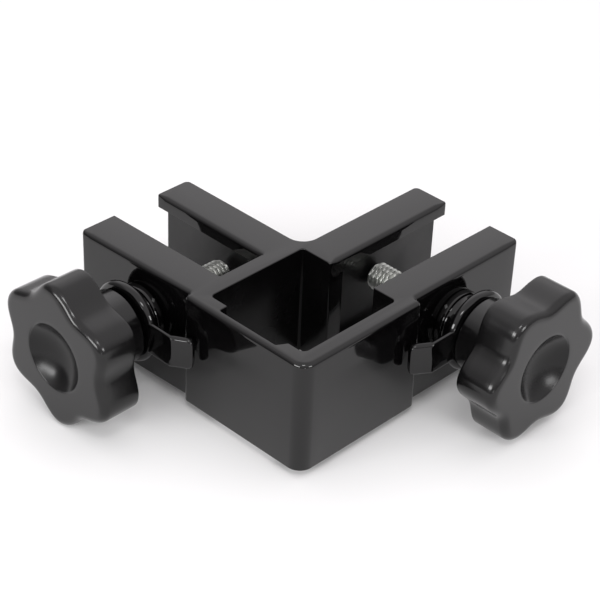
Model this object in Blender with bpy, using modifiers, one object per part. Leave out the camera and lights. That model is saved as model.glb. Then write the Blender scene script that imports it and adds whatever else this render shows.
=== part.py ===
"""Corner clamp bracket: a square tube socket with two screw clamps at right angles.

The moulded body lies flat with +Z up. It is drawn with its outer front corner at zero, and
main() then moves the socket's centre line on to the origin. One pair of arms runs along +X and
the other along +Y. Each clamp is a star knob on a 3/8 inch stud, a lock lever, and the two hex
nuts that they run on. Lengths are in millimetres, turned to metres by MM.
"""

from math import cos, pi, radians, sin, sqrt, tan

import bmesh
import bpy
from mathutils import Matrix, Vector

MM = 0.001
GAP = 0.3                    # clearance between neighbouring pieces

# Body, seen from above
HEIGHT = 39.7
WALL = 6.0                   # socket wall
SOCKET = 40.0                # square opening for a 38 mm (1 1/2 inch) tube
BLOCK = WALL + SOCKET + WALL
SOCKET_FAR = WALL + SOCKET
CENTRE = WALL + SOCKET / 2
STEP = {"left": 2.4, "right": 2.8}        # the arms stand back this far from the block's faces
STEP_END = {"left": 0.6, "right": 2.6}    # and this far at their ends
FRONT_ARM_IN = 15.5          # inner face of the front arms at the block
FRONT_ARM_TIP = 14.7         # and at their ends
JAW_IN = 33.75               # inner face of the rear arms' lips
JAW_WEB = 38.4               # face that the screw clamps against, between the lips
JAW_OUT = 47.2
FRONT_END = 101.0
REAR_END = 101.4
LIP = 4.7                    # height of each lip
TOP_ROUND = 1.9              # rounding of the outer top edges and of the upper lips
BACK_ROUND = 6.0             # inside corner between the rear arms
POCKET_NEAR = 14.4           # pocket in the socket's left wall, along Y
POCKET_FAR = 38.5
POCKET_SLANT = 2.0
POCKET_WALL = 2.6

# Clamp screws: the axis of each, and lengths out from the block's outer face (out is positive)
AXIS_ALONG = 72.0
AXIS_HEIGHT = 22.4
STUD_RADIUS = 4.76           # 3/8 inch
STUD_TIP = -36.8
NUT_FLATS = 14.3
HEAD_RADIUS = 7.4
HEAD_BASE = 14.0
HEAD_TOP = 20.0
TIP_CHAMFER = 0.9
SCREW_OUT = {"left": 0.6, "right": -0.6}    # how far each screw stands off its mean place
BORE_RADIUS = 5.3
NUT_HEIGHT = 8.0
NUT_CHAMFER = 0.7

# Star knob
HUB_BASE = 8.3
HUB_RADIUS = 12.4
KNOB_BACK = 20.0
KNOB_FACE = 34.5
KNOB_RADIUS = 25.5
LOBES = 6
LOBE_DEPTH = 4.1
RIM_ROUND = 2.2
DISH_RADIUS = 11.6
DISH_DEPTH = 5.5
LOBE_TURN = {"left": 90.0, "right": 0.0}    # direction of one lobe about the axis, degrees

# Lock lever
RING_FRONT = 7.4
RING_BACK = 5.0
RING_RADIUS = 13.7
RING_ROUND = 0.8
NECK_RADIUS = 9.4
COLLAR_RADIUS = 10.4
COLLAR_HEIGHT = 2.2
NECK_BASE = {"left": -0.75, "right": -2.4}    # 0.3 mm off the face of the arm behind it
STRAP_FRONT = 7.1
STRAP_THICK = 1.8
STRAP_HALF = 5.7
TAB_ROUND = 1.8
STRAP_END = 22.0
TAB_END = 28.0
TAB_DROP = 3.8
LEVER_NUT_HEIGHT = 6.6

OBJECT_NAME = "corner_clamp_bracket"


def clear_scene():
    """Start from an empty file."""
    for thing in list(bpy.data.objects):
        bpy.data.objects.remove(thing)


def make_collection(name):
    """A collection linked under the scene."""
    collection = bpy.data.collections.new(name)
    bpy.context.scene.collection.children.link(collection)
    return collection


def make_material(name, colour, roughness, metallic):
    """A Principled material with a flat finish."""
    material = bpy.data.materials.new(name)
    material.use_nodes = True
    shader = material.node_tree.nodes["Principled BSDF"]
    shader.inputs["Base Color"].default_value = (*colour, 1.0)
    shader.inputs["Roughness"].default_value = roughness
    shader.inputs["Metallic"].default_value = metallic
    material.diffuse_color = (*colour, 1.0)
    return material


def gloss_black(name):
    return make_material(name, (0.008, 0.008, 0.009), 0.12, 0.0)


def zinc_steel(name):
    return make_material(name, (0.62, 0.63, 0.60), 0.25, 1.0)


def arc_points(centre, radius, start, sweep, steps):
    """Points along an arc, both ends included; angles in radians."""
    points = []
    for step in range(steps + 1):
        angle = start + sweep * step / steps
        points.append(centre + radius * Vector((cos(angle), sin(angle))))
    return points


def rounded_outline(corners):
    """Round each (x, y, radius) corner of a closed outline with a tangent arc."""
    points = []
    count = len(corners)
    for index, (x, y, radius) in enumerate(corners):
        here = Vector((x, y))
        before = Vector(corners[index - 1][:2])
        after = Vector(corners[(index + 1) % count][:2])
        to_before = (before - here).normalized()
        to_after = (after - here).normalized()
        if radius == 0:
            points.append(here)
            continue
        half = to_before.angle(to_after) / 2
        centre = here + (to_before + to_after).normalized() * radius / sin(half)
        first = here + to_before * radius / tan(half) - centre
        last = here + to_after * radius / tan(half) - centre
        start_angle = Vector((1, 0)).angle_signed(first, 0.0) * -1
        sweep = -first.angle_signed(last, 0.0)
        steps = max(3, round(abs(sweep) * (2 + radius) / 2.2))
        points.extend(arc_points(centre, radius, start_angle, sweep, steps))
    return points


def slab(name, points, low, high, collection):
    """A flat outline given in millimetres, extruded from low to high along Z and made a mesh."""
    curve = bpy.data.curves.new(name, "CURVE")
    curve.dimensions = "2D"
    curve.fill_mode = "BOTH"
    curve.extrude = (high - low) / 2 * MM
    spline = curve.splines.new("POLY")
    spline.points.add(len(points) - 1)
    for target, point in zip(spline.points, points):
        target.co = (point[0] * MM, point[1] * MM, 0.0, 1.0)
    spline.use_cyclic_u = True
    guide = bpy.data.objects.new(name + "_outline", curve)
    guide.location = (0.0, 0.0, (low + high) / 2 * MM)
    collection.objects.link(guide)
    return curve_to_mesh(guide, name, collection)


def curve_to_mesh(guide, name, collection):
    """Turn a curve object into a welded mesh object in the same place, and drop the curve."""
    bpy.context.view_layer.update()
    graph = bpy.context.evaluated_depsgraph_get()
    mesh = bpy.data.meshes.new_from_object(guide.evaluated_get(graph))
    mesh.name = name
    mesh.transform(guide.matrix_world)
    work = bmesh.new()
    work.from_mesh(mesh)
    bmesh.ops.remove_doubles(work, verts=work.verts, dist=1e-6)
    bmesh.ops.recalc_face_normals(work, faces=work.faces)
    work.to_mesh(mesh)
    work.free()
    bpy.data.objects.remove(guide)
    solid = bpy.data.objects.new(name, mesh)
    collection.objects.link(solid)
    return solid


def box(name, low, high, collection):
    """A box between two corners in millimetres."""
    mesh = bpy.data.meshes.new(name)
    work = bmesh.new()
    size = [b - a for a, b in zip(low, high)]
    middle = [(a + b) / 2 for a, b in zip(low, high)]
    bmesh.ops.create_cube(work, size=1.0)
    bmesh.ops.scale(work, vec=Vector(size) * MM, verts=work.verts)
    bmesh.ops.translate(work, vec=Vector(middle) * MM, verts=work.verts)
    work.to_mesh(mesh)
    work.free()
    solid = bpy.data.objects.new(name, mesh)
    collection.objects.link(solid)
    return solid


def turned(name, profile, collection, steps=40):
    """Turn a closed half profile of (radius, height) points about Z with a Screw modifier.

    The profile runs from the top down the outer side; its first and last points lie on the axis.
    """
    mesh = bpy.data.meshes.new(name)
    verts = [(radius * MM, 0.0, height * MM) for radius, height in profile]
    edges = [(index, index + 1) for index in range(len(verts) - 1)]
    mesh.from_pydata(verts, edges, [])
    solid = bpy.data.objects.new(name, mesh)
    collection.objects.link(solid)
    screw = solid.modifiers.new("turn", "SCREW")
    screw.steps = steps
    screw.render_steps = steps
    screw.use_merge_vertices = True
    screw.merge_threshold = 1e-6
    return solid


def prism(name, flats, low, high, collection, turn=0.0):
    """A hexagonal bar along Z, measured across its flats."""
    mesh = bpy.data.meshes.new(name)
    work = bmesh.new()
    radius = flats / sqrt(3)
    bmesh.ops.create_cone(
        work, cap_ends=True, segments=6, radius1=radius * MM, radius2=radius * MM,
        depth=(high - low) * MM,
        matrix=Matrix.Translation((0, 0, (low + high) / 2 * MM)) @ Matrix.Rotation(turn, 4, "Z"),
    )
    work.to_mesh(mesh)
    work.free()
    solid = bpy.data.objects.new(name, mesh)
    collection.objects.link(solid)
    return solid


def cylinder(name, radius, low, high, collection, segments=40):
    """A round bar along Z."""
    mesh = bpy.data.meshes.new(name)
    work = bmesh.new()
    bmesh.ops.create_cone(
        work, cap_ends=True, segments=segments, radius1=radius * MM, radius2=radius * MM,
        depth=(high - low) * MM, matrix=Matrix.Translation((0, 0, (low + high) / 2 * MM)),
    )
    work.to_mesh(mesh)
    work.free()
    solid = bpy.data.objects.new(name, mesh)
    collection.objects.link(solid)
    return solid


def combine(target, tool, operation):
    """Add a Boolean modifier that joins or cuts with another object, kept as a hidden tool."""
    modifier = target.modifiers.new(operation.lower(), "BOOLEAN")
    modifier.operation = operation
    modifier.solver = "EXACT"
    modifier.object = tool
    tool.hide_render = True
    tool.display_type = "WIRE"


def bevel_edges(solid, chooses, width, segments):
    """Round the edges of a mesh that chooses(edge) picks, by width in millimetres."""
    work = bmesh.new()
    work.from_mesh(solid.data)
    bmesh.ops.dissolve_limit(
        work, angle_limit=radians(0.5), verts=work.verts, edges=work.edges)
    edges = [edge for edge in work.edges if chooses(edge)]
    bmesh.ops.bevel(
        work, geom=edges, offset=width * MM, segments=segments, profile=0.5,
        affect="EDGES", clamp_overlap=True)
    bmesh.ops.remove_doubles(work, verts=work.verts, dist=1e-7)
    work.to_mesh(solid.data)
    work.free()


def is_rounded_top(edge):
    """True for the top edges of the outer faces towards -X and -Y, and of the rear arms' lips."""
    if len(edge.link_faces) != 2:
        return False
    middle = (edge.verts[0].co + edge.verts[1].co) / 2 / MM
    on_top = all(abs(vert.co.z - HEIGHT * MM) < 1e-6 for vert in edge.verts)
    flat = [face for face in edge.link_faces if face.normal.z > 0.9]
    if not on_top or len(flat) != 1:
        return False
    near_x = middle.x < STEP["left"] + 0.1 and middle.y < FRONT_END - 0.1
    near_y = middle.y < STEP["right"] + 0.1 and middle.x < FRONT_END - 0.1
    left_lip = abs(middle.x - JAW_IN) < 0.01 and middle.y > BLOCK
    right_lip = abs(middle.y - JAW_IN) < 0.01 and middle.x > SOCKET_FAR
    return near_x or near_y or left_lip or right_lip


def body_outline():
    """The body from above: the socket with its open right side, and the four arms."""
    return [
        (0, 0, 5.0),
        (BLOCK, 0, 2.0),
        (BLOCK, STEP["right"], 0.5),
        (FRONT_END, STEP_END["right"], 0),
        (FRONT_END, FRONT_ARM_TIP, 0.4),
        (SOCKET_FAR, FRONT_ARM_IN, 0.4),
        (SOCKET_FAR, WALL, 1.5),
        (WALL, WALL, 3.0),
        (WALL, POCKET_NEAR - POCKET_SLANT, 0.5),
        (POCKET_WALL, POCKET_NEAR, 0.8),
        (POCKET_WALL, POCKET_FAR, 0.8),
        (WALL, POCKET_FAR, 0.5),
        (WALL, SOCKET_FAR, 1.5),
        (SOCKET_FAR, SOCKET_FAR, 1.0),
        (SOCKET_FAR, JAW_IN, 0),
        (REAR_END, JAW_IN, 0),
        (REAR_END, JAW_OUT, 1.8),
        (JAW_OUT, JAW_OUT, BACK_ROUND),
        (JAW_OUT, REAR_END, 1.8),
        (JAW_IN, REAR_END, 0),
        (JAW_IN, BLOCK, 0),
        (FRONT_ARM_IN, BLOCK, 0.4),
        (FRONT_ARM_TIP, FRONT_END, 0.4),
        (STEP_END["left"], FRONT_END, 0),
        (STEP["left"], BLOCK, 0.35),
        (0, BLOCK, 2.0),
    ]


def build_body(parts, cutters, axes):
    """The moulded body, with the jaw grooves and the screw bores cut into it."""
    body = slab("bracket_body", rounded_outline(body_outline()), 0, HEIGHT, parts)
    bevel_edges(body, is_rounded_top, TOP_ROUND, 4)
    body.data.materials.append(gloss_black("body_plastic"))
    far = REAR_END + 5
    grooves = {
        "left": ((JAW_IN - 5, BLOCK, LIP), (JAW_WEB, far, HEIGHT - LIP)),
        "right": ((BLOCK, JAW_IN - 5, LIP), (far, JAW_WEB, HEIGHT - LIP)),
    }
    for side, (low, high) in grooves.items():
        combine(body, box(side + "_jaw_groove", low, high, cutters), "DIFFERENCE")
    for side, axis in axes.items():
        bore = cylinder(side + "_bore", BORE_RADIUS, -20, 0, cutters)
        seat = prism(side + "_nut_seat", NUT_FLATS + 2 * GAP, -20, seat_floor(), cutters)
        for cutter in (bore, seat):
            cutter.matrix_world = axis
            combine(body, cutter, "DIFFERENCE")
    return body


def seat_floor():
    """Height of the bottom of the nut's seat in the front arm, out from the block's face."""
    return -FRONT_ARM_TIP + NUT_HEIGHT + 0.8


def build_stud(side, parts):
    """A 3/8 inch screw with a round head, which sits in the knob."""
    profile = [
        (0, HEAD_TOP),
        (HEAD_RADIUS, HEAD_TOP),
        (HEAD_RADIUS, HEAD_BASE),
        (STUD_RADIUS, HEAD_BASE),
        (STUD_RADIUS, STUD_TIP + TIP_CHAMFER),
        (STUD_RADIUS - TIP_CHAMFER, STUD_TIP),
        (0, STUD_TIP),
    ]
    return turned(side + "_clamp_stud", profile, parts)


def knob_outline():
    """Six lobes: the radius swings about its mean as a cosine of six times the angle."""
    mean = KNOB_RADIUS - LOBE_DEPTH / 2
    count = LOBES * 12
    points = []
    for index in range(count):
        angle = 2 * pi * index / count
        radius = mean + LOBE_DEPTH / 2 * cos(LOBES * angle)
        points.append((radius * cos(angle), radius * sin(angle)))
    return points


def is_rim(edge):
    """True for the edges round the knob's two flat faces."""
    levels = [face.normal.z for face in edge.link_faces]
    return len(levels) == 2 and min(abs(z) for z in levels) < 0.1 and max(map(abs, levels)) > 0.9


def is_front_rim(edge):
    return is_rim(edge) and all(vert.co.z > (KNOB_FACE - 1) * MM for vert in edge.verts)


def is_back_rim(edge):
    return is_rim(edge) and all(vert.co.z < (KNOB_BACK + 1) * MM for vert in edge.verts)


def build_knob(side, parts, cutters):
    """The star grip on its hub, dished in front, with the hollow that holds the screw's head."""
    knob = slab(side + "_clamp_knob", knob_outline(), KNOB_BACK, KNOB_FACE, parts)
    bevel_edges(knob, is_front_rim, RIM_ROUND, 4)
    bevel_edges(knob, is_back_rim, 1.0, 2)
    hub_profile = [
        (0, KNOB_BACK + 2),
        (HUB_RADIUS, KNOB_BACK + 2),
        (HUB_RADIUS, HUB_BASE + 0.6),
        (HUB_RADIUS - 0.6, HUB_BASE),
        (0, HUB_BASE),
    ]
    hub = turned(side + "_hub", hub_profile, cutters, 48)
    ball = (DISH_RADIUS ** 2 + DISH_DEPTH ** 2) / (2 * DISH_DEPTH)
    dish_profile = [(0, KNOB_FACE + 2), (DISH_RADIUS, KNOB_FACE + 2), (DISH_RADIUS, KNOB_FACE)]
    for step in range(1, 7):
        radius = DISH_RADIUS * (1 - step / 6)
        drop = sqrt(ball ** 2 - radius ** 2) - (ball - DISH_DEPTH)
        dish_profile.append((radius, KNOB_FACE - drop))
    dish = turned(side + "_dish", dish_profile, cutters, 48)
    head = cylinder(
        side + "_head_hollow", HEAD_RADIUS + GAP, HEAD_BASE - GAP, HEAD_TOP + GAP, cutters)
    shank = cylinder(side + "_shank_hole", STUD_RADIUS + GAP, HUB_BASE - 2, HEAD_BASE + 1, cutters)
    combine(knob, hub, "UNION")
    combine(knob, dish, "DIFFERENCE")
    combine(knob, head, "DIFFERENCE")
    combine(knob, shank, "DIFFERENCE")
    return knob, (hub, dish, head, shank)


def strap_outline():
    """The lever's strap from the side, as (distance from the axis, height out) points."""
    slope = TAB_DROP / (TAB_END - STRAP_END)
    across = STRAP_THICK * sqrt(1 + slope ** 2)
    inner_bend = STRAP_END - STRAP_THICK * slope / 2
    return [
        (6.0, STRAP_FRONT),
        (STRAP_END, STRAP_FRONT),
        (TAB_END, STRAP_FRONT - TAB_DROP),
        (TAB_END, STRAP_FRONT - TAB_DROP - across),
        (inner_bend, STRAP_FRONT - STRAP_THICK),
        (6.0, STRAP_FRONT - STRAP_THICK),
    ]


def build_lever(side, parts, cutters):
    """The lock lever: a flanged ring with a flat strap and a tab bent towards the body."""
    profile = [
        (0, RING_FRONT),
        (RING_RADIUS - RING_ROUND, RING_FRONT),
        (RING_RADIUS - 0.3 * RING_ROUND, RING_FRONT - 0.3 * RING_ROUND),
        (RING_RADIUS, RING_FRONT - RING_ROUND),
        (RING_RADIUS, RING_BACK + RING_ROUND),
        (RING_RADIUS - 0.3 * RING_ROUND, RING_BACK + 0.3 * RING_ROUND),
        (RING_RADIUS - RING_ROUND, RING_BACK),
        (NECK_RADIUS, RING_BACK),
        (NECK_RADIUS, NECK_BASE[side] + COLLAR_HEIGHT),
        (COLLAR_RADIUS, NECK_BASE[side] + COLLAR_HEIGHT),
        (COLLAR_RADIUS, NECK_BASE[side]),
        (0, NECK_BASE[side]),
    ]
    lever = turned(side + "_lock_lever", profile, parts, 48)
    strap = slab(side + "_strap", strap_outline(), -STRAP_HALF, STRAP_HALF, cutters)
    strap.data.transform(Matrix.Rotation(radians(90), 4, "X"))
    round_tab(strap)
    nut = prism(side + "_lever_nut_seat", NUT_FLATS + 2 * GAP, lever_nut_base() - GAP,
                RING_FRONT + 2, cutters)
    hole = cylinder(side + "_lever_hole", STUD_RADIUS + GAP, -10, 10, cutters)
    combine(lever, strap, "UNION")
    combine(lever, nut, "DIFFERENCE")
    combine(lever, hole, "DIFFERENCE")
    return lever, (strap, nut, hole)


def round_tab(strap):
    """Round the corners at the tab's end."""
    work = bmesh.new()
    work.from_mesh(strap.data)
    corners = [
        edge for edge in work.edges
        if all(vert.co.x > (TAB_END - 0.1) * MM for vert in edge.verts)
        and abs(edge.verts[0].co.y - edge.verts[1].co.y) < 1e-6
    ]
    bmesh.ops.bevel(work, geom=corners, offset=TAB_ROUND * MM, segments=4, profile=0.5,
                    affect="EDGES", clamp_overlap=True)
    work.to_mesh(strap.data)
    work.free()


def lever_nut_base():
    """Height of the lower face of the lever's nut."""
    return RING_FRONT - 0.4 - LEVER_NUT_HEIGHT


def build_nut(name, low, high, parts, cutters):
    """A plain 3/8 inch hex nut whose bore clears the stud's crests."""
    nut = prism(name, NUT_FLATS, low, high, parts)
    bevel_edges(nut, lambda edge: is_rim(edge), NUT_CHAMFER * 0.6, 1)
    hole = cylinder(name + "_bore", STUD_RADIUS + GAP, low - 2, high + 2, cutters)
    combine(nut, hole, "DIFFERENCE")
    return nut, (hole,)


def finish(solid, material, axis, pieces=()):
    """Give a part its material, smooth its round faces, and set it and its tools on the axis."""
    solid.data.materials.append(material)
    for thing in (solid, *pieces):
        thing.matrix_world = axis
    solid.data.shade_smooth()
    solid.data.set_sharp_from_angle(angle=radians(35))


def axis_frame(side):
    """The clamp's own frame: Z points out along the screw and X towards the front corner."""
    along = AXIS_ALONG * MM
    height = AXIS_HEIGHT * MM
    if side == "left":
        columns = [(0, -1, 0), (0, 0, 1), (-1, 0, 0), (0, along, height)]
    else:
        columns = [(-1, 0, 0), (0, 0, -1), (0, -1, 0), (along, 0, height)]
    frame = Matrix.Identity(4)
    for index, column in enumerate(columns):
        for row in range(3):
            frame[row][index] = column[row]
    return frame


def build_clamp(side, parts, cutters, axis):
    """One clamp: knob, stud and both nuts, with the lock lever between knob and arm."""
    screw = axis @ Matrix.Translation((0, 0, SCREW_OUT[side] * MM))
    turn = Matrix.Rotation(radians(LOBE_TURN[side]), 4, "Z")
    knob, tools = build_knob(side, parts, cutters)
    finish(knob, gloss_black(side + "_knob_plastic"), screw @ turn, tools)
    stud = build_stud(side, parts)
    finish(stud, zinc_steel(side + "_stud_zinc"), screw @ turn)
    lever, tools = build_lever(side, parts, cutters)
    finish(lever, gloss_black(side + "_lever_plastic"), axis, tools)
    nut, tools = build_nut(side + "_lever_nut", lever_nut_base(), RING_FRONT - 0.4, parts, cutters)
    finish(nut, zinc_steel(side + "_lever_nut_zinc"), axis, tools)
    top = seat_floor() - GAP
    nut, tools = build_nut(side + "_arm_nut", top - NUT_HEIGHT + 0.4, top, parts, cutters)
    finish(nut, zinc_steel(side + "_arm_nut_zinc"), axis, tools)


def move_origin():
    """Move everything so that the socket's centre line, at the underside, is the origin."""
    shift = Matrix.Translation(Vector((-CENTRE, -CENTRE, 0.0)) * MM)
    for thing in bpy.data.objects:
        thing.matrix_world = shift @ thing.matrix_world


def main():
    clear_scene()
    parts = make_collection(OBJECT_NAME)
    cutters = make_collection("cutters")
    axes = {side: axis_frame(side) for side in ("left", "right")}
    build_body(parts, cutters, axes)
    for side, axis in axes.items():
        build_clamp(side, parts, cutters, axis)
    bpy.context.view_layer.update()
    move_origin()
    bpy.context.view_layer.update()


main()
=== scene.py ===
# %% [markdown]
# # A corner clamp bracket
#
# A black moulded corner with a square post socket and two screw clamps at right angles. Each
# clamp has a star knob, a threaded zinc stud, a lock lever and two hex nuts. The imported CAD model
# is the fixed frame: every piece made here goes where the CAD says and rides on a CAD body.
#
# Lengths in the functions are millimetres in the body's own frame, whose zero is the outer front
# corner. `to_world` turns them to metres from the socket's centre line, which is the CAD origin.

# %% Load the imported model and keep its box
from math import cos, pi, radians, sin, sqrt

import bmesh
import bpy
import numpy as np
from mathutils import Matrix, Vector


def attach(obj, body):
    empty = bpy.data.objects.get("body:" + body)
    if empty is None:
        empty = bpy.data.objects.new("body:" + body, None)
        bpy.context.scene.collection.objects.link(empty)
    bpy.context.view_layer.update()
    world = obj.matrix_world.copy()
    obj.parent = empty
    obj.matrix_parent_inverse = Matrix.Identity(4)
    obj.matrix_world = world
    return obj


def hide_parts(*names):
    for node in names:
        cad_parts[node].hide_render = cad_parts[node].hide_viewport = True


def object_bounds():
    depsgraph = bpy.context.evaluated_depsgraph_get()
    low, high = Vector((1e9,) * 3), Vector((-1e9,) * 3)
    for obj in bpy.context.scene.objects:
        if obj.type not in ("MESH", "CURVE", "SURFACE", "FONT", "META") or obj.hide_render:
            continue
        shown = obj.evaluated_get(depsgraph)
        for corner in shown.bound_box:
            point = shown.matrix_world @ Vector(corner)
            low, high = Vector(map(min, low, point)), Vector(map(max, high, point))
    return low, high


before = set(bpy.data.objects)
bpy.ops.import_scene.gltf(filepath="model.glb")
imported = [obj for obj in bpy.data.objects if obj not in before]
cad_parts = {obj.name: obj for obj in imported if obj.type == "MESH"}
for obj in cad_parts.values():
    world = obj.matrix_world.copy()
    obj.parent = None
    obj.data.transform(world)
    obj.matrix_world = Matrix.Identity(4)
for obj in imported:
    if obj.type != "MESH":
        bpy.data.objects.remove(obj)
cad_low, cad_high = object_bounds()

MM = 0.001
CENTRE = 26.0               # from the outer front corner to the socket's centre line
TAU = 2 * pi
print("CAD box in mm:", [round((b - a) / MM, 1) for a, b in zip(cad_low, cad_high)])


# %% [markdown]
# ## From arrays to meshes
#
# Every surface below is a grid of points: rows run along a profile and columns run round it. One
# function turns such a grid into a closed mesh object. The grid wraps round in its columns, and
# its first and last rows are each closed with one flat face.

# %% Helpers that put arrays into meshes
MERGE = 1e-7                # points closer than this, in metres, become one


def to_world(points):
    """Millimetres from the outer front corner to metres from the socket's centre line."""
    return (np.array(points, dtype=float) - (CENTRE, CENTRE, 0)) * MM


def from_columns(columns):
    """A 4 x 4 matrix whose columns are three axes and an origin in metres."""
    matrix = Matrix.Identity(4)
    for index, column in enumerate(columns):
        for row in range(3):
            matrix[row][index] = column[row]
    return matrix


def outward(thing):
    """Merge doubled points and make every face look outwards."""
    work = bmesh.new()
    work.from_mesh(thing.data)
    bmesh.ops.remove_doubles(work, verts=work.verts, dist=MERGE)
    bmesh.ops.recalc_face_normals(work, faces=work.faces)
    work.to_mesh(thing.data)
    work.free()


def mesh_object(name, points, faces):
    """An object from an (n, 3) array of points in metres and a list of faces."""
    mesh = bpy.data.meshes.new(name)
    mesh.from_pydata(points.reshape(-1, 3).tolist(), [], faces)
    thing = bpy.data.objects.new(name, mesh)
    bpy.context.scene.collection.objects.link(thing)
    return thing


def closed_grid(name, grid):
    """A closed skin over a (rows, columns, 3) grid that wraps round in its columns.

    Quad (i, j) joins grid points (i, j), (i, j+1), (i+1, j+1) and (i+1, j), with j+1 taken
    round to 0. The first and last rows are closed with one face each.
    """
    rows, columns = grid.shape[:2]
    index = np.arange(rows * columns).reshape(rows, columns)
    ahead = np.roll(index, -1, axis=1)
    quads = np.stack([index[:-1], ahead[:-1], ahead[1:], index[1:]], axis=-1).reshape(-1, 4)
    faces = quads.tolist() + [index[0][::-1].tolist(), index[-1].tolist()]
    thing = mesh_object(name, grid, faces)
    outward(thing)
    return thing


def turned(name, radius, height, columns=64):
    """A solid of revolution: profile point (r, h) goes to (r cos t, r sin t, h) at angle t."""
    angle = np.arange(columns) / columns * TAU
    radius = np.asarray(radius, dtype=float)[:, None]
    height = np.asarray(height, dtype=float)[:, None]
    grid = np.stack(
        [radius * np.cos(angle), radius * np.sin(angle), height + 0 * angle], axis=-1)
    return closed_grid(name, grid * MM)


def combine(thing, tool, operation):
    """Join or cut with another solid, keep the result and drop the tool."""
    modifier = thing.modifiers.new(operation.lower(), "BOOLEAN")
    modifier.operation = operation
    modifier.solver = "EXACT"
    modifier.object = tool
    bpy.context.view_layer.update()
    graph = bpy.context.evaluated_depsgraph_get()
    combined = bpy.data.meshes.new_from_object(thing.evaluated_get(graph))
    thing.modifiers.clear()
    thing.data = combined
    bpy.data.objects.remove(tool)


def finish(thing, body, node, material, matrix=None, sharp=40.0):
    """Bake a piece's place into its mesh, shade it, give it its finish and tie it to the CAD."""
    if matrix is not None:
        thing.data.transform(matrix)
    thing.data.materials.clear()
    thing.data.materials.append(material)
    thing.data.shade_smooth()
    thing.data.set_sharp_from_angle(angle=radians(sharp))
    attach(thing, body)
    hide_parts(node)
    print(thing.name, "has", len(thing.data.polygons), "faces")
    return thing


print("helpers are ready for", len(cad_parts), "CAD nodes")


# %% [markdown]
# ## Black moulding
#
# The body and levers are injection-moulded plastic with a polished skin. Almost all that is seen
# of a polished black surface is what it mirrors, so the colour is nearly black, the roughness is
# low, and a very faint long-wave bump bends the reflections as shrinkage in the mould does. A
# painted grey would look flat, because it wouldn't change as the view moves.
#
# One recipe gives five finishes. The knobs are a little softer than the body, and their dishes
# softer still. The webs between the clamp lips are satin, and the socket's walls are drawn matt by
# the core that is pulled out of the mould.

# %% Black plastic materials
SMUDGES = 60.0              # cycles per metre of the patches in the polish
WAVES = 90.0                # cycles per metre of the slow bump
BLACK = (0.0012, 0.0011, 0.0012, 1)
FADED_BLACK = (0.0022, 0.0020, 0.0022, 1)


def node_material(name):
    """A new node material, its tree and its Principled shader."""
    material = bpy.data.materials.new(name)
    material.use_nodes = True
    return material, material.node_tree, material.node_tree.nodes["Principled BSDF"]


def noise(tree, scale, detail):
    """A noise texture on Object coordinates, in cycles per metre."""
    place = tree.nodes.new("ShaderNodeTexCoord")
    texture = tree.nodes.new("ShaderNodeTexNoise")
    texture.inputs["Scale"].default_value = scale
    texture.inputs["Detail"].default_value = detail
    tree.links.new(place.outputs["Object"], texture.inputs["Vector"])
    return texture


def spread(tree, source, low, high):
    """Map the middle of a noise, 0.3 to 0.7, to the range low..high."""
    mapped = tree.nodes.new("ShaderNodeMapRange")
    mapped.inputs["From Min"].default_value = 0.3
    mapped.inputs["From Max"].default_value = 0.7
    mapped.inputs["To Min"].default_value = low
    mapped.inputs["To Max"].default_value = high
    tree.links.new(source, mapped.inputs["Value"])
    return mapped.outputs["Result"]


def tinted(tree, texture, shader, dark, light):
    """Let a texture run the base colour from dark to light."""
    tint = tree.nodes.new("ShaderNodeValToRGB")
    tint.color_ramp.elements[0].color = dark
    tint.color_ramp.elements[1].color = light
    tree.links.new(texture.outputs["Fac"], tint.inputs["Fac"])
    tree.links.new(tint.outputs["Color"], shader.inputs["Base Color"])


def bumped(tree, texture, shader, depth):
    """Let a texture bend the surface's normal, with a depth in millimetres."""
    bump = tree.nodes.new("ShaderNodeBump")
    bump.inputs["Strength"].default_value = 1.0
    bump.inputs["Distance"].default_value = depth * MM
    tree.links.new(texture.outputs["Fac"], bump.inputs["Height"])
    tree.links.new(bump.outputs["Normal"], shader.inputs["Normal"])


def black_plastic(name, polish, waviness, sheen=1.46):
    """Near-black polished plastic: smudges vary its roughness and a slow bump bends it.

    Polish is the mean roughness, waviness the bump's depth in millimetres, and sheen the index
    of refraction n, which sets how much the face mirrors head on: ((n - 1) / (n + 1)) squared.
    """
    material, tree, shader = node_material(name)
    smudge = noise(tree, SMUDGES, detail=3.0)
    tinted(tree, smudge, shader, BLACK, FADED_BLACK)
    rough = spread(tree, smudge.outputs["Fac"], polish * 0.8, polish * 1.35)
    tree.links.new(rough, shader.inputs["Roughness"])
    bumped(tree, noise(tree, WAVES, detail=1.0), shader, waviness)
    shader.inputs["IOR"].default_value = sheen
    return material


MOULDING = black_plastic("black_moulding", polish=0.05, waviness=0.008)
SATIN = black_plastic("black_moulding_satin", polish=0.34, waviness=0.012)
DRAWN = black_plastic("black_moulding_drawn", polish=0.22, waviness=0.008, sheen=1.30)
GRIP = black_plastic("black_grip", polish=0.17, waviness=0.008)
DISH = black_plastic("black_grip_dish", polish=0.24, waviness=0.02, sheen=1.40)
print("black finishes:", [made.name for made in (MOULDING, SATIN, DRAWN, GRIP, DISH)])

# %% [markdown]
# ## Zinc plate
#
# The studs and nuts are zinc on steel: a metal with a cool, faintly green grey and a fine uneven
# grain. The grain is a noise that varies tint, roughness and height. The four nuts keep their CAD
# meshes, because a plain hex nut needs no more shape than that.

# %% Zinc material
GRAIN = 900.0               # cycles per metre
GRAIN_DEPTH = 0.01
DULL_ZINC = (0.44, 0.45, 0.43, 1)
BRIGHT_ZINC = (0.70, 0.71, 0.68, 1)
ZINC_ROUGHNESS = (0.30, 0.45)
NUTS = ("left_lever_nut", "right_lever_nut", "left_arm_nut", "right_arm_nut")


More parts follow.
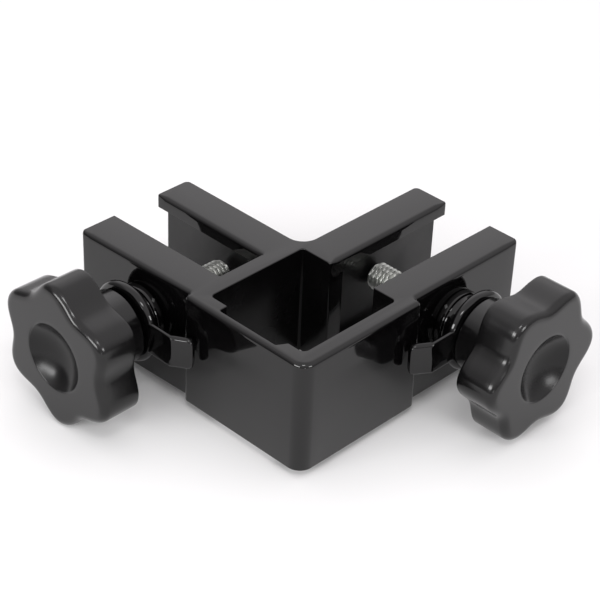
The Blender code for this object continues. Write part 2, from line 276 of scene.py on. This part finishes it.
def zinc_plate(name):
    """Zinc on steel, with a fine grain in tint, roughness and height."""
    material, tree, shader = node_material(name)
    grain = noise(tree, GRAIN, detail=4.0)
    tinted(tree, grain, shader, DULL_ZINC, BRIGHT_ZINC)
    rough = spread(tree, grain.outputs["Fac"], *ZINC_ROUGHNESS)
    tree.links.new(rough, shader.inputs["Roughness"])
    bumped(tree, grain, shader, GRAIN_DEPTH)
    shader.inputs["Metallic"].default_value = 1.0
    return material


ZINC = zinc_plate("zinc_plate")
for node_name in NUTS:
    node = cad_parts[node_name]
    node.data.materials.clear()
    node.data.materials.append(ZINC)
print("zinc on", NUTS)


# %% [markdown]
# ## The body's outline
#
# Seen from above, the body is one outline of straight walls. Each corner has its own radius, and
# each wall has its own rounding along its top edge: large on the outer faces and on the clamp
# lips, small elsewhere. A tangent arc replaces each corner. On outside corners the edge rounding
# can't be larger than the corner's radius, so it is eased down there.

# %% Outline of the body
HEIGHT = 39.7
WALL = 6.0
BLOCK = 52.0
SOCKET_FAR = 46.0
SOFT = 1.9                  # rounding of the outer top edges
CRISP = 0.35                # rounding of the other top edges
ARC_STEP = 7.5              # degrees between points on a corner's arc
LONG_WALL = 8.0             # a wall longer than this gets two more points

# (x, y, corner radius, rounding of the wall that follows), anticlockwise from the front corner
CORNERS = [
    (0, 0, 5.0, SOFT),
    (BLOCK, 0, 2.0, SOFT),
    (BLOCK, 2.8, 0.5, SOFT),
    (101.0, 2.6, 1.4, CRISP),
    (101.0, 14.7, 0.5, CRISP),
    (SOCKET_FAR, 15.5, 0.5, CRISP),
    (SOCKET_FAR, WALL, 1.5, CRISP),
    (WALL, WALL, 2.0, CRISP),
    (WALL, 12.4, 0.5, CRISP),
    (2.6, 14.4, 0.8, CRISP),
    (2.6, 38.5, 0.8, CRISP),
    (WALL, 38.5, 0.5, CRISP),
    (WALL, SOCKET_FAR, 1.5, CRISP),
    (SOCKET_FAR, SOCKET_FAR, 1.0, CRISP),
    (SOCKET_FAR, 33.75, 0.5, SOFT),
    (101.4, 33.75, 0.6, CRISP),
    (101.4, 47.2, 1.8, CRISP),
    (47.2, 47.2, 6.0, CRISP),
    (47.2, 101.4, 1.8, CRISP),
    (33.75, 101.4, 0.6, SOFT),
    (33.75, BLOCK, 0.4, CRISP),
    (15.5, BLOCK, 0.4, CRISP),
    (14.7, 101.0, 0.5, CRISP),
    (0.6, 101.0, 1.4, SOFT),
    (2.4, BLOCK, 0.35, SOFT),
    (0, BLOCK, 2.0, SOFT),
]


def unit(vector):
    """The vector with its length made 1."""
    return vector / np.linalg.norm(vector)


def corner_arc(before, here, after, radius, easing):
    """Points on the arc that touches both walls at a corner, with the rounding at each point.

    The arc's centre is on the corner's bisector, radius / sin(half angle) away. The rounding
    runs from the first wall's value to the second's, and stays under an outside corner's radius.
    """
    arrive, leave = unit(before - here), unit(after - here)
    half = np.arccos(np.clip(arrive @ leave, -1, 1)) / 2
    reach = radius / np.tan(half)
    centre = here + unit(arrive + leave) * radius / np.sin(half)
    first = here + arrive * reach - centre
    sweep = pi - 2 * half
    turn = np.sign(np.cross(-arrive, leave))
    steps = max(4, int(np.ceil(np.degrees(sweep) / ARC_STEP)))
    angle = np.linspace(0, sweep * turn, steps + 1)
    points = np.stack([
        centre[0] + first[0] * np.cos(angle) - first[1] * np.sin(angle),
        centre[1] + first[0] * np.sin(angle) + first[1] * np.cos(angle)], axis=-1)
    share = np.linspace(0, 1, steps + 1)
    rounding = easing[0] * (1 - share) + easing[1] * share
    if turn > 0:
        rounding = np.minimum(rounding, radius * 0.96)
    return points, rounding


def body_outline():
    """The outline's points and the rounding of the top edge at each of them.

    A long wall gets a point near each end, which keeps its shading flat between them.
    """
    places = np.array([corner[:2] for corner in CORNERS], dtype=float)
    points, rounding = [], []
    for index, (_, _, radius, after) in enumerate(CORNERS):
        before = CORNERS[index - 1][3]
        arc, ease = corner_arc(
            places[index - 1], places[index], places[(index + 1) % len(CORNERS)],
            radius, (before, after))
        points.append(arc)
        rounding.append(ease)
        far_end = places[(index + 1) % len(CORNERS)]
        length = np.linalg.norm(far_end - arc[-1])
        if length > LONG_WALL:
            along = unit(far_end - arc[-1])
            reach = min(3.0, length / 4)
            next_radius = CORNERS[(index + 1) % len(CORNERS)][2]
            ends = [arc[-1] + along * reach, far_end - along * (reach + 2 * next_radius)]
            points.append(np.array(ends))
            rounding.append(np.array([after, after]))
    return np.concatenate(points), np.concatenate(rounding)


def inset_directions(points, rounding):
    """For each point, the shift that moves both walls beside it in by their own rounding.

    With inward normals n1 and n2, the shift v solves v.n1 = r and v.n2 = r.
    """
    along = np.roll(points, -1, axis=0) - points
    along /= np.linalg.norm(along, axis=1, keepdims=True)
    normal = np.stack([-along[:, 1], along[:, 0]], axis=-1)
    behind = np.roll(normal, 1, axis=0)
    middle = normal + behind
    return middle / (1 + np.sum(normal * behind, axis=1))[:, None] * rounding[:, None]


outline, top_rounding = body_outline()
print("outline has", len(outline), "points")


# %% [markdown]
# ## The body
#
# The side wall is the outline carried straight up. Its top edge is a quarter circle whose radius
# changes from wall to wall, so each ring of the grid is the outline moved in by r (1 - cos a) and
# standing at height - r (1 - sin a).

# %% Body surface


def body_surface():
    """Rings from the underside up the wall, over the rounded edge and on to the top face."""
    shift = inset_directions(outline, top_rounding)
    foot = inset_directions(outline, np.full(len(outline), CRISP))
    rings = []
    for angle in np.radians([90, 60, 30, 0]):
        flat = outline + foot * (1 - cos(angle))
        level = np.full(len(outline), CRISP * (1 - sin(angle)))
        rings.append(np.column_stack([flat, level]))
    for angle in np.radians(np.linspace(0, 90, 9)):
        flat = outline + shift * (1 - cos(angle))
        level = HEIGHT - top_rounding * (1 - sin(angle))
        rings.append(np.column_stack([flat, level]))
    return to_world(np.array(rings))


body = closed_grid("moulded_body", body_surface())
print("uncut body has", len(body.data.polygons), "faces")


# %% [markdown]
# ## Grooves, seats and holes
#
# The grooves in the rear arms, the seats of the nuts and the holes of the studs run across the
# walls, so they are cut afterwards with simple solids. Each clamp has its own frame, in which the
# screw is the Z axis, so both sides use the same cutters.

# %% Cut the body
AXIS_ALONG = 72.0           # from the front corner to each screw, along the arm
AXIS_HEIGHT = 22.4
HOLE_RADIUS = 5.3
FLATS = 14.3                # across a nut
GAP = 0.3                   # round a nut in its seat
SEAT_FLOOR = -5.9           # the nut stands from here to the channel
IN_CHANNEL = -20.0          # a place beyond the front arm's inner face
LIP = 4.7
WEB = 38.4                  # the depth of the grooves
GROOVE_START = 28.0
GROOVE_END = 108.0


def block(name, low, high):
    """A cutter between two corners in the body's frame."""
    (x0, y0, z0), (x1, y1, z1) = low, high
    ring = np.array([(x0, y0), (x1, y0), (x1, y1), (x0, y1)], dtype=float)
    grid = np.stack([np.column_stack([ring, np.full(4, level)]) for level in (z0, z1)])
    return closed_grid(name, to_world(grid))


def clamp_frame(side):
    """The clamp's own frame: Z points out along the screw and X towards the front corner."""
    if side == "left":
        origin = to_world((0, AXIS_ALONG, AXIS_HEIGHT))
        return from_columns([(0, -1, 0), (0, 0, 1), (-1, 0, 0), origin])
    origin = to_world((AXIS_ALONG, 0, AXIS_HEIGHT))
    return from_columns([(-1, 0, 0), (0, 0, -1), (0, -1, 0), origin])


def hexagon_bar(name, flats, low, high):
    """A hexagonal bar along Z. Its corners are flats / sqrt(3) from the axis."""
    angle = np.radians([0, 60, 120, 180, 240, 300])
    ring = np.stack([np.cos(angle), np.sin(angle)], axis=-1) * flats / sqrt(3)
    grid = np.stack([np.column_stack([ring, np.full(6, level)]) for level in (low, high)])
    return closed_grid(name, grid * MM)


left_groove = block(
    "left_groove", (GROOVE_START, BLOCK, LIP), (WEB, GROOVE_END, HEIGHT - LIP))
right_groove = block(
    "right_groove", (BLOCK, GROOVE_START, LIP), (GROOVE_END, WEB, HEIGHT - LIP))
combine(body, left_groove, "DIFFERENCE")
combine(body, right_groove, "DIFFERENCE")
for side in ("left", "right"):
    hole = turned("stud_hole", [HOLE_RADIUS, HOLE_RADIUS], [IN_CHANNEL, 0], columns=48)
    seat = hexagon_bar("nut_seat", FLATS + 2 * GAP, IN_CHANNEL, SEAT_FLOOR)
    for cutter in (hole, seat):
        cutter.data.transform(clamp_frame(side))
        combine(body, cutter, "DIFFERENCE")
finish(body, "bracket", "bracket_body", MOULDING, sharp=32.0)


# %% [markdown]
# ## Second finishes on one moulding
#
# A mould leaves its own finish on each face, so one piece can be glossy in one place and satin in
# another. A mesh can hold several materials, and each face has the index of its own. The test for
# a face uses its middle and its normal, not its number, so it still works after the cuts.

# %% Finishes of the webs and the socket
STRAIGHT = 0.99             # a normal's component when it points along an axis
TOUCHING = 0.01             # how near the web's depth a face's middle is
UPRIGHT = 0.3               # the most that the normal of a wall leans up or down
SOCKET_NEAR = 2.5           # just short of the recess in the socket's outer wall
SOCKET_SPARE = 0.1


def paint_faces(thing, material, chosen):
    """Give the faces that pass the test another finish, and print how many there are."""
    thing.data.materials.append(material)
    slot = len(thing.data.materials) - 1
    painted = 0
    for face in thing.data.polygons:
        middle = np.array(face.center) / MM + (CENTRE, CENTRE, 0)
        if chosen(middle, face.normal):
            face.material_index = slot
            painted += 1
    print(thing.name, "has", painted, "faces of", material.name)


def on_web(middle, normal):
    """The faces between a rear arm's lips look towards -X or -Y from the web's depth."""
    return any(
        normal[side] < -STRAIGHT and abs(middle[side] - WEB) < TOUCHING for side in (0, 1))


def in_socket(middle, normal):
    """The socket's own walls stand between its corners and face its centre line."""
    beyond_near = (SOCKET_NEAR < middle[:2]).all()
    short_of_far = (middle[:2] < SOCKET_FAR + SOCKET_SPARE).all()
    return beyond_near and short_of_far and abs(normal[2]) < UPRIGHT


paint_faces(body, SATIN, on_web)
paint_faces(body, DRAWN, in_socket)


# %% [markdown]
# ## Star knobs
#
# A knob is one grid. Its columns go round the axis and its rows follow the section: down the dish
# in front, over the face, round the rim, along the grip, and in over the hub. The grip's outline
# has six lobes, r = m + a cos 6t. Near the axis the rows are circles, and on the face they change
# into the lobed outline, moved in along its own normal. The hollow in the hub holds the round
# head of the stud.

# %% Star knob surface
LOBES = 6
KNOB_MEAN = 23.45
LOBE_SWING = 2.05
KNOB_FACE = 34.5
KNOB_BACK = 20.0
BACK_ROUND = 1.0
DRAFT = 0.1                 # how much the grip narrows towards its back
HUB_BASE = 8.3
HUB_RADIUS = 12.4
HUB_FILLET = 0.8
HUB_EDGE = 0.6
DISH_RADIUS = 11.6
DISH_DEPTH = 5.5
DISH_EDGE = 0.5
RIM = 2.7
BORE = 5.06                 # clearance round the stud
HOLLOW_RADIUS = 8.7
HOLLOW_BASE = 13.7
HOLLOW_TOP = 20.3


def quarter(start, stop, count):
    """Angles in radians from start to stop degrees."""
    return np.radians(np.linspace(start, stop, count))


def lobed(angle, inset):
    """The lobed outline r = m + a cos 6t, moved in along its normal by inset.

    The tangent is the derivative of (r cos t, r sin t), where r' = -6 a sin 6t.
    """
    radius = KNOB_MEAN + LOBE_SWING * np.cos(LOBES * angle)
    slope = -LOBES * LOBE_SWING * np.sin(LOBES * angle)
    point = np.stack([radius * np.cos(angle), radius * np.sin(angle)], axis=-1)
    tangent = np.stack([
        slope * np.cos(angle) - radius * np.sin(angle),
        slope * np.sin(angle) + radius * np.cos(angle)], axis=-1)
    tangent /= np.linalg.norm(tangent, axis=1, keepdims=True)
    normal = np.stack([tangent[:, 1], -tangent[:, 0]], axis=-1)
    return point - normal * inset


def knob_surface(columns=288):
    """Rows of the knob from the middle of the dish, over the grip, to the hollow in the hub.

    The dish is part of a ball: radius R = (r r + d d) / 2 d for a dish of radius r and depth d.
    """
    angle = np.arange(columns) / columns * TAU
    circle = np.stack([np.cos(angle), np.sin(angle)], axis=-1)
    rows = []

    def add(flat, level):
        rows.append(np.column_stack([flat, np.full(columns, level)]))

    ball = (DISH_RADIUS ** 2 + DISH_DEPTH ** 2) / (2 * DISH_DEPTH)
    for radius in np.linspace(0.15, DISH_RADIUS - 0.1, 16):
        add(circle * radius, KNOB_FACE - (sqrt(ball ** 2 - radius ** 2) - (ball - DISH_DEPTH)))
    for turn in quarter(40, 90, 6):
        add(circle * (DISH_RADIUS + DISH_EDGE * (1 - cos(turn))),
            KNOB_FACE - DISH_EDGE * (1 - sin(turn)))
    inner = circle * (DISH_RADIUS + DISH_EDGE)
    outer = lobed(angle, RIM)
    for share in np.linspace(0, 1, 9)[1:-1]:
        add(inner * (1 - share) + outer * share, KNOB_FACE)
    for turn in quarter(90, 0, 11):
        add(lobed(angle, RIM * (1 - cos(turn))), KNOB_FACE - RIM * (1 - sin(turn)))
    straight = KNOB_FACE - RIM - KNOB_BACK - BACK_ROUND
    for share in np.linspace(0, 1, 6)[1:-1]:
        add(lobed(angle, DRAFT * share), KNOB_FACE - RIM - share * straight)
    for turn in quarter(0, 90, 6):
        add(lobed(angle, DRAFT + BACK_ROUND * (1 - cos(turn))),
            KNOB_BACK + BACK_ROUND * (1 - sin(turn)))
    rear = lobed(angle, DRAFT + BACK_ROUND)
    for share in (0.3, 0.6, 0.85):
        add(rear * (1 - share) + circle * (HUB_RADIUS + HUB_FILLET) * share, KNOB_BACK)
    for turn in quarter(0, 90, 5):
        add(circle * (HUB_RADIUS + HUB_FILLET * (1 - sin(turn))),
            KNOB_BACK - HUB_FILLET * (1 - cos(turn)))
    for turn in quarter(0, 90, 5):
        add(circle * (HUB_RADIUS - HUB_EDGE * (1 - cos(turn))),
            HUB_BASE + HUB_EDGE * (1 - sin(turn)))
    hollow = [(BORE, HUB_BASE), (BORE, HOLLOW_BASE), (HOLLOW_RADIUS, HOLLOW_BASE),
              (HOLLOW_RADIUS, HOLLOW_TOP), (0.5, HOLLOW_TOP)]
    for radius, level in hollow:
        add(circle * radius, level)
    return np.array(rows) * MM


print("knob is", 2 * (KNOB_MEAN + LOBE_SWING), "mm over its lobes")


# %% [markdown]
# ## Threaded studs
#
# A 3/8 inch stud has sixteen threads to the inch, so its pitch is 1.5875 mm. The radius at
# height h and angle t depends only on the phase h / pitch - t / 2 pi: it is the crest's radius at
# phase 0 and falls along a straight flank to the root half a pitch on. That gives a real helix.
# The head is a plain round disc, so the knob can turn about it.

# %% Threaded stud surface
STUD_RADIUS = 4.76
PITCH = 1.5875
THREAD_DEPTH = 0.95
CREST = 0.16                # share of the pitch that is crest
ROOT = 0.14                 # share of the pitch that is root
STUD_TIP = -36.8
TIP_RADIUS = 3.7
TIP_SLOPE = 0.9             # how fast the chamfer widens
HEAD_BASE = 14.0
HEAD_TOP = 20.0
HEAD_RADIUS = 7.4


def stud_surface(columns=60, rows_per_pitch=12):
    """The helix from the chamfered tip to the head, then the plain round head.

    The radius is crest - depth * f, where f runs from 0 to 1 along the flank.
    """
    angle = np.arange(columns) / columns * TAU
    height = np.arange(STUD_TIP, HEAD_BASE, PITCH / rows_per_pitch)[:, None]
    phase = np.mod(height / PITCH - angle / TAU + 0.5, 1.0) - 0.5
    fall = np.clip((np.abs(phase) * 2 - CREST) / (1 - CREST - ROOT), 0, 1)
    radius = STUD_RADIUS - THREAD_DEPTH * fall
    radius = np.minimum(radius, TIP_RADIUS + (height - STUD_TIP) * TIP_SLOPE)
    helix = np.stack([
        radius * np.cos(angle), radius * np.sin(angle), height + 0 * angle], axis=-1)
    rim = np.stack([np.cos(angle), np.sin(angle)], axis=-1)
    top = [
        np.column_stack([rim * radius, np.full(columns, level)])
        for radius, level in (
            (STUD_RADIUS, HEAD_BASE), (HEAD_RADIUS, HEAD_BASE), (HEAD_RADIUS, HEAD_TOP))]
    return np.concatenate([helix, np.array(top)]) * MM


print("thread has", (HEAD_BASE - STUD_TIP) / PITCH, "turns")


# %% [markdown]
# ## Lock levers
#
# A lock lever is a flanged ring on a short neck, with a flat strap and a tab that bends towards
# the body. The ring is turned from its profile. The strap is a rounded bar carried along a path
# in the plane of the screw: straight, a short bend, then a thicker tab. Both are joined, and the
# seat of the nut and the hole of the stud are cut out. The left neck is shorter than the right
# one, because the two arms' outer faces don't stand at the same depth.

# %% Lock lever surfaces
RING_FRONT = 7.4
RING_BACK = 3.7
RING_RADIUS = 13.7
NECK_RADIUS = 9.4
COLLAR_RADIUS = 10.4
NECK_BASE = {"left": -0.75, "right": -2.4}
STRAP_FRONT = 7.1
STRAP_THICK = 1.8
STRAP_EDGE = 0.85           # rounding of the strap's section
STRAP_HALF = 5.7
STRAP_START = 6.0           # inside the ring, so that the two overlap
STRAP_END = 22.0
TAB_END = 28.0
TAB_DROP = 3.8
TAB_ROUND = 1.8
TAB_THICK = 2.7
TAB_EDGE = 1.35             # rounding of the tab's section
NUT_SEAT = 0.1              # the lever's nut stands from here outwards
LEVER_FRONT = 10.0          # beyond the front of the ring, and as far behind it


def ring_profile(side):
    """Radius and height along the ring's section, from its front to its base.

    The front edge is a quarter of an ellipse, wide by tall, and the back edge a quarter circle.
    """
    base = NECK_BASE[side]
    wide, tall, edge = 2.2, 2.0, 1.6
    front = quarter(90, 0, 10)
    back = quarter(0, 90, 6)
    radius = np.concatenate([
        [0.3], RING_RADIUS - wide * (1 - np.cos(front)), RING_RADIUS - edge * (1 - np.cos(back)),
        [NECK_RADIUS + 0.5, NECK_RADIUS + 0.12, NECK_RADIUS, NECK_RADIUS, NECK_RADIUS + 0.15,
         COLLAR_RADIUS - 0.4, COLLAR_RADIUS - 0.1, COLLAR_RADIUS, COLLAR_RADIUS, 0.3]])
    height = np.concatenate([
        [RING_FRONT], RING_FRONT - tall * (1 - np.sin(front)),
        RING_BACK + edge * (1 - np.sin(back)),
        [RING_BACK, RING_BACK - 0.12, RING_BACK - 0.5, base + 2.6, base + 2.3,
         base + 2.2, base + 2.08, base + 1.8, base, base]])
    return radius, height


def strap_surface():
    """A rounded bar carried along the lever's path.

    At distance s along the path the section is a rounded rectangle, w(s) either side of the
    middle and d(s) deep along the path's normal. The depth d grows round the bend from the
    strap's to the tab's, and near the tab's end w falls as a quarter circle.
    """
    lean = np.arctan2(TAB_DROP, TAB_END - STRAP_END)
    bend = 2.4
    reach = bend * np.tan(lean / 2)
    turn = np.linspace(0, lean, 9)
    straight = np.linspace(STRAP_START, STRAP_END - reach, 6)[:-1]
    curve = np.stack([
        STRAP_END - reach + bend * np.sin(turn), STRAP_FRONT - bend * (1 - np.cos(turn))], axis=-1)
    length = np.hypot(TAB_END - STRAP_END, TAB_DROP) - reach
    share = np.concatenate([
        np.linspace(0, length - TAB_ROUND, 5)[1:],
        length - TAB_ROUND + TAB_ROUND * np.sin(np.linspace(0, pi / 2, 9))[1:]])
    tab = curve[-1] + share[:, None] * np.array([np.cos(lean), -np.sin(lean)])
    level = np.full(len(straight), STRAP_FRONT)
    line = np.concatenate([np.stack([straight, level], axis=-1), curve, tab])
    slope = np.concatenate([np.zeros(len(straight)), turn, np.full(len(share), lean)])
    width = np.full(len(line), STRAP_HALF)
    past = np.clip((share - (length - TAB_ROUND)) / TAB_ROUND, 0, 1)
    width[-len(share):] -= TAB_ROUND * (1 - np.sqrt(np.clip(1 - past ** 2, 0, 1)))
    thick = np.full(len(line), STRAP_THICK)
    thick[-len(share):] = TAB_THICK
    thick[len(straight):-len(share)] = np.linspace(STRAP_THICK, TAB_THICK, len(curve))
    grown = (thick[:, None] - STRAP_THICK) / (TAB_THICK - STRAP_THICK)
    edge = STRAP_EDGE + (TAB_EDGE - STRAP_EDGE) * grown
    corner = quarter(0, 90, 6)
    across, deep = [], []
    for sign_w, sign_d, start in ((1, 1, 0), (-1, 1, 90), (-1, -1, 180), (1, -1, 270)):
        turned_by = corner + np.radians(start)
        across.append(np.stack([np.full(len(corner), sign_w), np.cos(turned_by)], axis=-1))
        deep.append(np.stack([np.full(len(corner), sign_d), np.sin(turned_by)], axis=-1))
    across, deep = np.concatenate(across), np.concatenate(deep)
    sideways = across[:, 0] * (width[:, None] - edge) + edge * across[:, 1]
    half = thick[:, None] / 2
    down = half - deep[:, 0] * (half - edge) - edge * deep[:, 1]
    x = line[:, :1] - np.sin(slope)[:, None] * down
    z = line[:, 1:] - np.cos(slope)[:, None] * down
    return np.stack([x, sideways, z], axis=-1) * MM


print("lever reaches", TAB_END, "mm from the screw's axis")

# %% [markdown]
# ## Both clamps
#
# The two sides are the same pieces in two clamp frames. They differ in how far the screw is out
# and in where the knob stopped when it was tightened. Each piece rides on its own CAD body, so a
# posed joint carries it along.

# %% Build both clamps
FRONT_AXIS = {"left": 0, "right": 1}
SCREW_OUT = {"left": 0.6, "right": -0.6}
LOBE_TURN = {"left": 92.5, "right": 0.0}
DISH_SPARE = 2.0            # how far behind the dish's middle its faces are looked for


def dish_of(side):
    """A test for faces within the dish's radius of one side's screw, near the knob's face."""
    along = FRONT_AXIS[side]

    def in_dish(middle, normal):
        across = np.delete(middle, along) - (AXIS_ALONG, AXIS_HEIGHT)
        near_face = middle[along] < -(KNOB_FACE - DISH_DEPTH - DISH_SPARE)
        return np.hypot(*across) < DISH_RADIUS and near_face

    return in_dish


for side in ("left", "right"):
    axis = clamp_frame(side)
    screw = axis @ Matrix.Translation((0, 0, SCREW_OUT[side] * MM))
    spun = screw @ Matrix.Rotation(radians(LOBE_TURN[side]), 4, "Z")

    knob = closed_grid(side + "_star_knob", knob_surface())
    finish(knob, side + "_knob", side + "_clamp_knob", GRIP, spun)
    paint_faces(knob, DISH, dish_of(side))

    stud = closed_grid(side + "_threaded_stud", stud_surface())
    finish(stud, side + "_screw", side + "_clamp_stud", ZINC, spun)

    lever = turned(side + "_lever", *ring_profile(side), columns=96)
    combine(lever, closed_grid("strap", strap_surface()), "UNION")
    nut_space = hexagon_bar("nut_space", FLATS + 2 * GAP, NUT_SEAT, LEVER_FRONT)
    combine(lever, nut_space, "DIFFERENCE")
    stud_space = turned("stud_space", [BORE, BORE], [-LEVER_FRONT, LEVER_FRONT], columns=48)
    combine(lever, stud_space, "DIFFERENCE")
    finish(lever, side + "_lever", side + "_lock_lever", MOULDING, axis)


# %% [markdown]
# ## Floor
#
# The floor is a pale sheet of paper at the height of the lowest piece. It reaches four metres each
# way from the object, so its edge is out of sight. A very weak glow stands in for light that comes
# back from the rest of the room. The floor is a stage piece, so it isn't part of the object's box.

# %% Floor
FLOOR_REACH = 4.0
PAPER = (0.75, 0.75, 0.75, 1)
PAPER_ROUGHNESS = 0.9
PAPER_GLOW = 0.04

floor_level = min(cad_low.z, 0.0)
floor_corners = np.array([
    (x * FLOOR_REACH, y * FLOOR_REACH, floor_level)
    for x, y in ((-1, -1), (1, -1), (1, 1), (-1, 1))])
floor = mesh_object("floor", floor_corners, [(0, 1, 2, 3)])
paper, _, paper_shader = node_material("light_table")
paper_shader.inputs["Base Color"].default_value = PAPER
paper_shader.inputs["Roughness"].default_value = PAPER_ROUGHNESS
paper_shader.inputs["Specular IOR Level"].default_value = 0.0
paper_shader.inputs["Emission Color"].default_value = (1, 1, 1, 1)
paper_shader.inputs["Emission Strength"].default_value = PAPER_GLOW
floor.data.materials.append(paper)
print("floor at", round(floor_level / MM, 2), "mm")

# %% [markdown]
# ## Studio
#
# Polished black is lit by its surroundings. The sky's brightness is a ramp on Z, the sine of the
# height above the horizon: dim low down and brighter overhead, which lifts the top faces. One
# brighter patch is the wall behind the object. One dark patch is a black flag low on the left,
# which gives the rounded edges on that side something dark to mirror. Both multiply the ramp.

# %% Sky
SKY_TOP = 2.0               # the ramp holds shares of this brightness
SKY = [(0.0, 0.55), (0.16, 0.58), (0.40, 0.92), (0.56, 1.10), (0.78, 1.16), (1.0, 1.15)]
SKY_TINT = (1.0, 0.975, 0.99)

world = bpy.data.worlds.new("studio")
bpy.context.scene.world = world
world.use_nodes = True
sky = world.node_tree
place = sky.nodes.new("ShaderNodeTexCoord")
split = sky.nodes.new("ShaderNodeSeparateXYZ")
ramp = sky.nodes.new("ShaderNodeValToRGB")
sky.links.new(place.outputs["Generated"], split.inputs["Vector"])
sky.links.new(split.outputs["Z"], ramp.inputs["Fac"])
for index, (level, bright) in enumerate(SKY):
    elements = ramp.color_ramp.elements
    stop = elements[index] if index < 2 else elements.new(level)
    stop.position = level
    stop.color = [bright / SKY_TOP * share for share in SKY_TINT] + [1]


def patch(towards, inner, outer, factor):
    """A brightness factor near one direction of the sky, fading to 1 between two angles.

    The cosine of the angle from the direction is a dot product with the view vector.
    """
    facing = sky.nodes.new("ShaderNodeVectorMath")
    facing.operation = "DOT_PRODUCT"
    facing.inputs[1].default_value = towards
    sky.links.new(place.outputs["Generated"], facing.inputs[0])
    fade = sky.nodes.new("ShaderNodeMapRange")
    fade.interpolation_type = "SMOOTHSTEP"
    fade.inputs["From Min"].default_value = cos(radians(outer))
    fade.inputs["From Max"].default_value = cos(radians(inner))
    fade.inputs["To Min"].default_value = 1.0
    fade.inputs["To Max"].default_value = factor
    sky.links.new(facing.outputs["Value"], fade.inputs["Value"])
    return fade.outputs["Result"]


back_wall = patch(towards=(0.54, 0.63, 0.56), inner=14, outer=42, factor=1.34)
dark_flag = patch(towards=(-0.56, 0.82, 0.12), inner=16, outer=44, factor=0.42)
both = sky.nodes.new("ShaderNodeMath")
both.operation = "MULTIPLY"
sky.links.new(back_wall, both.inputs[0])
sky.links.new(dark_flag, both.inputs[1])
scaled = sky.nodes.new("ShaderNodeMath")
scaled.operation = "MULTIPLY"
scaled.inputs[1].default_value = SKY_TOP
sky.links.new(both.outputs["Value"], scaled.inputs[0])
sky.links.new(ramp.outputs["Color"], sky.nodes["Background"].inputs["Color"])
sky.links.new(scaled.outputs["Value"], sky.nodes["Background"].inputs["Strength"])
print("sky from", SKY[0][1], "at the horizon to", SKY[-1][1], "overhead")

# %% [markdown]
# ## Softboxes
#
# Four small area lights give the short bright lines along the rounded edges and the glints in the
# threads. A softbox is placed by what it is reflected in. Its energy is brightness times pi times
# area, so a change of size doesn't change how bright its reflection is.

# %% Softboxes
def softbox(name, place, size, bright):
    """A rectangular area light of one brightness that looks at the object.

    Place and size are in metres, and the energy in watts is pi * brightness * area.
    """
    light = bpy.data.lights.new(name, "AREA")
    light.shape = "RECTANGLE"
    light.size, light.size_y = size
    light.energy = bright * pi * size[0] * size[1]
    lamp = bpy.data.objects.new(name, light)
    lamp.location = place
    direction = -lamp.location
    lamp.rotation_euler = direction.to_track_quat("-Z", "Y").to_euler()
    bpy.context.scene.collection.objects.link(lamp)
    print(name, "gives", round(light.energy, 2), "W")


softbox("left_softbox", place=(-0.91, 0.01, 0.41), size=(0.68, 0.20), bright=12.0)
softbox("right_softbox", place=(-0.01, -0.91, 0.42), size=(0.34, 0.20), bright=11.0)
softbox("overhead_softbox", place=(-0.42, -0.42, 0.93), size=(0.26, 0.18), bright=12.0)
softbox("front_softbox", place=(-0.58, -0.79, 0.12), size=(0.10, 0.08), bright=8.0)

# %% [markdown]
# ## Camera
#
# The camera looks down at the outer corner from in front. Its three axes come from a turn about
# Z, a tilt and a small roll, and a long lens keeps the two arms nearly parallel.

# %% Camera
CAMERA_PLACE = (-0.35278, -0.33170, 0.36853)
LENS = 115.0
SENSOR = 36.0

azimuth, elevation, roll = radians(-46.646), radians(34.24), radians(2.44)
right = np.array([cos(azimuth), sin(azimuth), 0.0])
forward = np.array([
    -sin(azimuth) * cos(elevation), cos(azimuth) * cos(elevation), -sin(elevation)])
upward = np.cross(right, forward)
camera_right = cos(roll) * right + sin(roll) * upward
camera_up = -sin(roll) * right + cos(roll) * upward

camera = bpy.data.cameras.new("camera")
camera.lens = LENS
camera.sensor_width = SENSOR
camera.clip_start = 0.01
viewpoint = bpy.data.objects.new("camera", camera)
viewpoint.matrix_world = from_columns([camera_right, camera_up, -forward, CAMERA_PLACE])
bpy.context.scene.collection.objects.link(viewpoint)
bpy.context.scene.camera = viewpoint
bpy.context.scene.view_settings.view_transform = "Standard"
print("camera is", round(np.linalg.norm(CAMERA_PLACE), 3), "m from the object")
